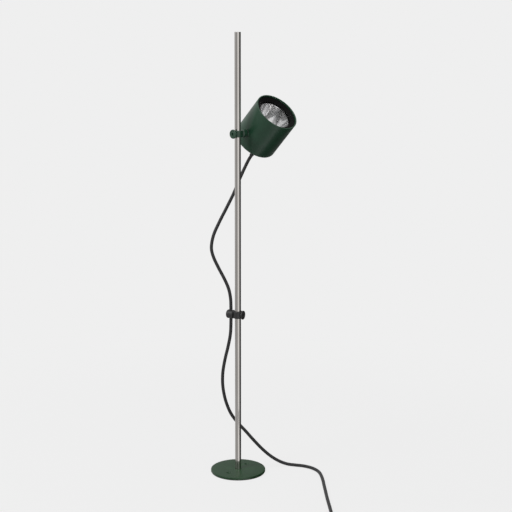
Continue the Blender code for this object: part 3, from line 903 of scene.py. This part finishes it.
SLEEVE_GROOVES = 7
GROOVE_SHAPE = ((0.30, 0.0), (0.42, 0.8), (0.55, 1.0), (0.68, 0.8), (0.80, 0.0))
GROOVE_DEPTH = 0.0007


def sleeve(name, place, low, high, wide, narrow):
    """A tapered rubber sleeve with rounded grooves, wide at its low end."""
    length = high - low
    outline = [(0, high), (narrow - 0.0002, high), (narrow, high - 0.0003)]
    for k in range(SLEEVE_GROOVES):
        for part, depth in GROOVE_SHAPE:
            share = (k + part) / SLEEVE_GROOVES
            radius = narrow + (wide - narrow) * share
            deep = min(GROOVE_DEPTH, 0.45 * (radius - 0.0033))
            outline.append((radius - depth * deep, high - length * share))
    outline += [(wide, low + 0.0003), (wide - 0.0003, low), (0, low)]
    return lathe(name, outline, "black_rubber", place, 80, sharp=50)


# ---------------------------------------------------------------- the cable clip


CLIP_HALF = 0.0070
CLIP_COLLAR = 0.0092
CLIP_BORE = 0.0073
CLIP_LOBE = 0.0085
CLIP_LOBE_NEAR = 0.0086
CLIP_CORD = 0.0152
CLIP_HOLE = 0.0036
CLIP_KNOB_BACK = 0.0096
CLIP_KNOB_TIP = 0.0074


def clip():
    """The clip's moulding: a collar, the lobe that holds the lead and the thumb screw's neck."""
    ring = collar(CLIP_COLLAR, CLIP_HALF, CLIP_BORE, 0.0010)
    body = lathe("clip_moulding", ring, "black_plastic", CLIP_UP)
    end = extent("clip_body", CLIP_BACK)[1]
    soft, root = 0.0030, 0.0020
    lobe = [(0, end)] + arc(CLIP_LOBE - soft, end - soft, soft, 90, 0, 10)
    lobe += arc(CLIP_LOBE - root, CLIP_LOBE_NEAR + 0.0016, root, 0, -50, 6)
    lobe += [(0.0062, CLIP_LOBE_NEAR), (0, CLIP_LOBE_NEAR)]
    join(body, lathe("lobe_adder", lobe, None, CLIP_BACK))

    hole = axes(CLIP_BACK.translation - CLIP_AXIS * CLIP_CORD, (0, 0, 1))
    half = [(0.0050, 0.012), (0.0045, 0.0083), (CLIP_HOLE, 0.0074)]
    flare = [(0, 0.012)] + half + [(radius, -height) for radius, height in reversed(half)] + [(0, -0.012)]
    cut(body, lathe("cord_cutter", flare, None, hole, 64))
    join(body, lathe("neck_adder", rod_outline(0.0060, 0.0080, CLIP_KNOB_BACK - GAP), None, CLIP))
    cut(body, lathe("stud_cutter", rod_outline(STUD_HOLE, STUD_HOLE_FROM, CUT_PAST), None, CLIP, 48))
    soften(body, 4)
    stands_for(body, "clip", "clip_body")
    screw = ("clip_thumb_knob", "clip_knob", "clip_thumb_screw")
    thumb_screw(*screw, CLIP, "black_plastic", CLIP_KNOB_BACK, CLIP_KNOB_TIP)


# ---------------------------------------------------------------- the coil's strap and the plug


STRAP_THICK = 0.0012
STRAP_BEND = 0.0020
STRAP_EDGE = 0.0003


def bend(x, z, radius, quarter):
    """A quarter circle in an upright plane: quarter 0 ends straight up, and quarter 1 starts there."""
    return [around(radius, math.pi / 2 * (quarter + k / 6), (x, z)) for k in range(7)]


def coil_strap():
    """A flat strap that goes over the bundle, with rounded bends."""
    low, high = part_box("coil_tie")
    half = (high.y - low.y) / 2
    y = (low.y + high.y) / 2
    top = high.z - STRAP_BEND
    right, left = high.x - STRAP_BEND, low.x + STRAP_BEND
    inside = STRAP_BEND - STRAP_THICK
    ring = [(high.x, low.z)] + bend(right, top, STRAP_BEND, 0) + bend(left, top, STRAP_BEND, 1)
    ring += [(low.x, low.z), (low.x + STRAP_THICK, low.z)] + bend(left, top, inside, 1)[::-1]
    ring += bend(right, top, inside, 0)[::-1] + [(high.x - STRAP_THICK, low.z)]
    bm = bmesh.new()
    rows = [[bm.verts.new((px, y + side, pz)) for px, pz in ring] for side in (-half, half)]
    for i in range(len(ring)):
        j = (i + 1) % len(ring)
        bm.faces.new((rows[0][i], rows[0][j], rows[1][j], rows[1][i]))
    bm.faces.new(rows[0])
    bm.faces.new(rows[1])
    strap = finished("coil_strap", bm, "black_rubber", 30)
    bevel = strap.modifiers.new("edges", "BEVEL")
    bevel.width = STRAP_EDGE
    bevel.segments = 2
    settle(strap)
    stands_for(strap, "root", "coil_tie")


def loft(name, sections, slot, place, sides=72):
    """Rounded rectangles of (height, half depth, half width, squareness) along a frame's z axis."""
    bm = bmesh.new()
    rows = []
    for height, deep, wide, square in sections:
        row = []
        for i in range(sides):
            angle = 2 * math.pi * i / sides
            c, s = math.cos(angle), math.sin(angle)
            x = deep * math.copysign(abs(c) ** (2 / square), c)
            y = wide * math.copysign(abs(s) ** (2 / square), s)
            row.append(bm.verts.new(place @ Vector((x, y, height))))
        rows.append(row)
    for a, b in zip(rows, rows[1:]):
        for i in range(sides):
            j = (i + 1) % sides
            bm.faces.new((a[i], a[j], b[j], b[i]))
    bm.faces.new(rows[0])
    bm.faces.new(rows[-1])
    return finished(name, bm, slot, 40)


PLUG_DEEP = 0.0066
PLUG_RIBS = 5
PLUG_RIB_STEP = 0.0024
PIN_CORE = 0.0015
PIN_COVER_LENGTH = 0.0095


def plug_pin(number):
    """A round pin with a rounded tip, and the plastic cover on its root. Gives both pieces' names."""
    node = f"plug_pin_{number}"
    aside = middle(node).y - PLUG.translation.y
    place = axes(PLUG.translation + Vector((0, aside, 0)), (-1, 0, 0), (0, 0, 1))
    low, high, reach = extent(node, place)
    neck = low + PIN_COVER_LENGTH
    tip = 0.0010
    outline = [(0, high), (0.0007, high - 0.00003)] + arc(reach - tip, high - tip, tip, 75, 0, 5)
    outline += [(reach, neck + 0.0002), (reach - 0.0002, neck), (PIN_CORE, neck), (PIN_CORE, low), (0, low)]
    metal = lathe(f"pin_{number}", outline, "bright_steel", place, 48)
    stands_for(metal, "root", node)
    inner, outer, top = PIN_CORE + 0.0001, reach - 0.0001, neck - 0.0001
    cover = [(inner, top), (outer, top), (outer, low), (inner, low)]
    guard = lathe(f"pin_cover_{number}", cover, "black_plastic", place, 48)
    stands_for(guard, "root")
    return [metal.name, guard.name]


def plug():
    """The flat two-pin plug, with finger ribs, and its sleeve. Gives the names of its pieces."""
    low, high, reach = extent("plug_strain_relief", PLUG)
    relief = axes(PLUG @ Vector((0, 0, high)), -PLUG.col[2].xyz, (0, 0, 1))
    stands_for(sleeve("plug_sleeve", relief, 0.0, high - low, reach, 0.0038), "root", "plug_strain_relief")

    low, high, _ = extent("plug_body", PLUG)
    sections = [(low, 0.0050, 0.0066, 2.6), (low + 0.0006, 0.0058, 0.0074, 2.8)]
    sections += [(low + 0.0040, 0.0064, 0.0086, 3.2), (low + 0.0075, PLUG_DEEP, 0.0108, 3.6)]
    for k in range(PLUG_RIBS):
        at = low + 0.0095 + k * PLUG_RIB_STEP
        wide = 0.0124 + 0.0040 * (k / (PLUG_RIBS - 1)) ** 0.8
        shallow = PLUG_DEEP - 0.0005
        sections += [(at, PLUG_DEEP, wide, 4.2), (at + 0.0003, shallow, wide - 0.0003, 4.2)]
        sections += [(at + 0.0011, shallow, wide, 4.2), (at + 0.0014, PLUG_DEEP, wide + 0.0003, 4.2)]
    sections += [(low + 0.0240, PLUG_DEEP, 0.0172, 5.0), (high - 0.0020, PLUG_DEEP, 0.0174, 5.0)]
    sections += [(high - 0.0008, PLUG_DEEP - 0.0003, 0.0171, 5.0), (high, PLUG_DEEP - 0.0011, 0.0163, 5.0)]
    stands_for(loft("plug_moulding", sections, "black_plastic", PLUG), "root", "plug_body")
    return ["plug_sleeve", "plug_moulding"] + plug_pin(1) + plug_pin(2)


# ---------------------------------------------------------------- stage


CAMERA_PLACE = (0.0352, -2.3453, 0.8688)
CAMERA_PITCH = math.radians(10.386)
CAMERA_ROLL = 0.0015
CAMERA_LENS = 86.26
CAMERA_SENSOR = 36.0
CLIP_END = 100.0
BACKDROP = 0.863

# The walls' brightness by direction: behind at 0 and 1, left at 0.25, the camera's side at 0.5, right at 0.75
WALL_STOPS = (
    *((0.0, 0.26), (0.06, 0.62), (0.14, 0.62), (0.25, 0.55), (0.36, 0.40)),
    *((0.43, 0.36), (0.465, 0.42), (0.49, 1.15), (0.56, 1.25), (0.615, 1.15)),
    *((0.65, 0.30), (0.70, 0.02), (0.88, 0.02), (0.95, 0.22), (1.0, 0.24)),
)
CEILING = 0.62
CEILING_FROM = 0.35
CEILING_FULL = 0.85

# The floor takes a faint shadow near the lamp, meets the backdrop farther off, and is dark under the base
FLOOR_Z = -0.0001
FLOOR_SIDES = 48
FLOOR_UNDER_BASE = 0.05
FLOOR_RADII = (FLOOR_UNDER_BASE, 0.3, 0.6, 1.0, 1.6, 4.0, 12.0, 40.0)
FLOOR_TONE = 0.10
FLOOR_LIT = 0.09
FLOOR_BOUNCE = 0.22
FLOOR_NEAR = 0.35
FLOOR_MEETS_BACKDROP = 1.1

# Each light's name, place, target, size and power
LIGHTS = (
    ("key", (-1.6, -0.9, 2.0), (0, 0, 0.5), (0.9, 1.4), 20),
    ("top", (0.2, 0.3, 2.6), (0, 0, 0.3), (1.4, 1.4), 6),
)


def camera():
    data = bpy.data.cameras.new("camera")
    data.sensor_width = CAMERA_SENSOR
    data.lens = CAMERA_LENS
    data.clip_end = CLIP_END
    obj = bpy.data.objects.new("camera", data)
    obj.location = CAMERA_PLACE
    level = Matrix.Rotation(math.pi / 2 - CAMERA_PITCH, 4, "X") @ Matrix.Rotation(CAMERA_ROLL, 4, "Z")
    obj.rotation_euler = level.to_euler()
    bpy.context.scene.collection.objects.link(obj)
    bpy.context.scene.camera = obj


def studio():
    """A room that is grey to the left, bright in front and dark from the right round to the back."""
    bpy.context.scene.view_settings.view_transform = "Standard"
    world = bpy.data.worlds.new("studio")
    bpy.context.scene.world = world
    world.use_nodes = True
    tree = world.node_tree
    tree.nodes.clear()
    link = tree.links.new
    ray = tree.nodes.new("ShaderNodeTexCoord").outputs["Generated"]
    parts = tree.nodes.new("ShaderNodeSeparateXYZ")
    link(ray, parts.inputs[0])
    turned = tree.nodes.new("ShaderNodeMath")
    turned.operation = "MULTIPLY"
    turned.inputs[1].default_value = -1.0
    link(parts.outputs["Y"], turned.inputs[0])
    angle = tree.nodes.new("ShaderNodeMath")
    angle.operation = "ARCTAN2"
    link(parts.outputs["X"], angle.inputs[0])
    link(turned.outputs[0], angle.inputs[1])
    share = tree.nodes.new("ShaderNodeMapRange")
    fill(share, From_Min=-math.pi, From_Max=math.pi)
    link(angle.outputs[0], share.inputs["Value"])
    walls = tree.nodes.new("ShaderNodeValToRGB")
    walls.color_ramp.interpolation = "B_SPLINE"
    ramp = walls.color_ramp
    while len(ramp.elements) < len(WALL_STOPS):
        ramp.elements.new(0.5)
    for element, (at, value) in zip(ramp.elements, WALL_STOPS):
        element.position = at
        element.color = grey(value)
    link(share.outputs["Result"], walls.inputs["Fac"])

    up = tree.nodes.new("ShaderNodeMapRange")
    up.interpolation_type = "SMOOTHSTEP"
    fill(up, From_Min=CEILING_FROM, From_Max=CEILING_FULL)
    link(parts.outputs["Z"], up.inputs["Value"])
    ceiling = tree.nodes.new("ShaderNodeMix")
    ceiling.data_type = "RGBA"
    ceiling.inputs[7].default_value = grey(CEILING)
    link(up.outputs["Result"], ceiling.inputs[0])
    link(walls.outputs["Color"], ceiling.inputs[6])

    light = tree.nodes.new("ShaderNodeBackground")
    fill(light, Strength=1.0)
    link(ceiling.outputs[2], light.inputs["Color"])
    seen = tree.nodes.new("ShaderNodeBackground")
    fill(seen, Color=grey(1.0), Strength=BACKDROP)
    mix = tree.nodes.new("ShaderNodeMixShader")
    link(tree.nodes.new("ShaderNodeLightPath").outputs["Is Camera Ray"], mix.inputs["Fac"])
    link(light.outputs[0], mix.inputs[1])
    link(seen.outputs[0], mix.inputs[2])
    link(mix.outputs[0], tree.nodes.new("ShaderNodeOutputWorld").inputs["Surface"])


def floor():
    """A pale floor. Near the lamp it takes a soft shadow, and farther off it meets the backdrop."""
    bm = bmesh.new()
    centre = bm.verts.new((0, 0, FLOOR_Z))
    angles = [2 * math.pi * i / FLOOR_SIDES for i in range(FLOOR_SIDES)]
    rows = [[bm.verts.new((*around(radius, a), FLOOR_Z)) for a in angles] for radius in FLOOR_RADII]
    for i in range(FLOOR_SIDES):
        bm.faces.new((centre, rows[0][i], rows[0][(i + 1) % FLOOR_SIDES]))
    for inner, outer in zip(rows, rows[1:]):
        for i in range(FLOOR_SIDES):
            j = (i + 1) % FLOOR_SIDES
            bm.faces.new((inner[i], outer[i], outer[j], inner[j]))
    obj = finished("floor", bm, None)
    made = bpy.data.materials.new("pale_floor")
    made.use_nodes = True
    tree = made.node_tree
    tree.nodes.clear()
    link = tree.links.new
    diffuse = tree.nodes.new("ShaderNodeBsdfDiffuse")
    fill(diffuse, Color=grey(FLOOR_TONE))
    glow = tree.nodes.new("ShaderNodeEmission")
    fill(glow, Strength=BACKDROP - FLOOR_LIT)
    both = tree.nodes.new("ShaderNodeAddShader")
    link(diffuse.outputs[0], both.inputs[0])
    link(glow.outputs[0], both.inputs[1])
    plain = tree.nodes.new("ShaderNodeEmission")
    fill(plain, Strength=BACKDROP)
    distance = tree.nodes.new("ShaderNodeVectorMath")
    distance.operation = "LENGTH"
    link(tree.nodes.new("ShaderNodeTexCoord").outputs["Object"], distance.inputs[0])
    far = tree.nodes.new("ShaderNodeMapRange")
    far.interpolation_type = "SMOOTHSTEP"
    fill(far, From_Min=FLOOR_NEAR, From_Max=FLOOR_MEETS_BACKDROP)
    link(distance.outputs["Value"], far.inputs["Value"])
    seen = tree.nodes.new("ShaderNodeMixShader")
    link(far.outputs["Result"], seen.inputs["Fac"])
    link(both.outputs[0], seen.inputs[1])
    link(plain.outputs[0], seen.inputs[2])
    dim = tree.nodes.new("ShaderNodeEmission")
    fill(dim, Strength=FLOOR_BOUNCE)
    choose = tree.nodes.new("ShaderNodeMixShader")
    link(tree.nodes.new("ShaderNodeLightPath").outputs["Is Camera Ray"], choose.inputs["Fac"])
    link(dim.outputs[0], choose.inputs[1])
    link(seen.outputs[0], choose.inputs[2])
    link(choose.outputs[0], tree.nodes.new("ShaderNodeOutputMaterial").inputs["Surface"])
    obj.data.materials.append(made)
    shaded = bpy.data.materials.new("shaded_floor")
    shaded.use_nodes = True
    fill(shaded.node_tree.nodes["Principled BSDF"], Base_Color=grey(FLOOR_TONE))
    obj.data.materials.append(shaded)
    for face in obj.data.polygons:
        if face.center.xy.length < FLOOR_UNDER_BASE:
            face.material_index = 1
    obj.visible_glossy = False


def softbox(name, place, target, size, power):
    data = bpy.data.lights.new(name, "AREA")
    data.shape = "RECTANGLE"
    data.size, data.size_y = size
    data.energy = power
    obj = bpy.data.objects.new(name, data)
    obj.location = place
    obj.rotation_euler = (Vector(target) - Vector(place)).to_track_quat("-Z", "Y").to_euler()
    obj.visible_camera = False
    bpy.context.scene.collection.objects.link(obj)


camera()
studio()
floor()
for light in LIGHTS:
    softbox(*light)
run = lead()
coil_piece, coil_path = coil(run)
base()
rod()
clamp()
housing()
baffle()
lens()
reflector()
gland()
clip()
coil_strap()
plug()

for row in frame["record"]["subparts"]:
    node = NODES[row["node"]]
    if node.hide_render:
        continue
    node.data.materials.clear()
    node.data.materials.append(FINISHES[row["material_slot"]])
